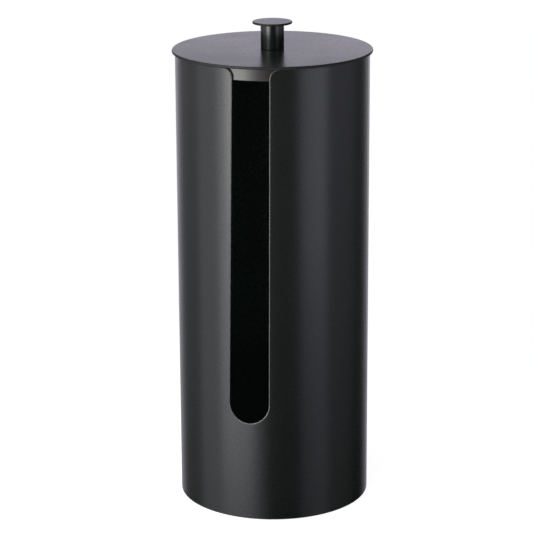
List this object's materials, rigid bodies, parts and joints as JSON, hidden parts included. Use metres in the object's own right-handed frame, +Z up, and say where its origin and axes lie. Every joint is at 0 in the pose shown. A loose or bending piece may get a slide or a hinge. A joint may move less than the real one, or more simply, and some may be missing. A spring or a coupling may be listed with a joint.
{
  "type": "toilet roll storage holder",
  "caption": "Tall round steel holder that stores spare toilet rolls in a stack, with an open slot down its front and a flat lift-off lid with a small disc-headed knob.",
  "frame": {"origin": "on the floor, in the middle of the foot", "axes": "+Z up along the tube, -Y towards the front, where the slot is"},
  "size_m": [0.1444, 0.1444, 0.3552],
  "materials": {
    "powder_coat": "satin black powder coat with a fine grain",
    "zinc_steel": "bright zinc plating",
    "pad_rubber": "matt foamed rubber"
  },
  "bodies": {
    "holder": {"tube_body": "powder_coat", "base_plate": "powder_coat", "foot_pad_front_right": "pad_rubber", "foot_pad_back_right": "pad_rubber", "foot_pad_back_left": "pad_rubber", "foot_pad_front_left": "pad_rubber"},
    "lid": {"lid_plate": "powder_coat", "lid_collar": "powder_coat", "knob_stem": "powder_coat", "knob_head": "powder_coat", "knob_screw": "zinc_steel", "flat_washer": "zinc_steel", "lock_washer": "zinc_steel"}
  },
  "joints": [
    {"name": "lid_lift", "type": "slide", "parent": "holder", "child": "lid", "axis": [0, 0, 1], "range_m": [0, 0.2]}
  ]
}
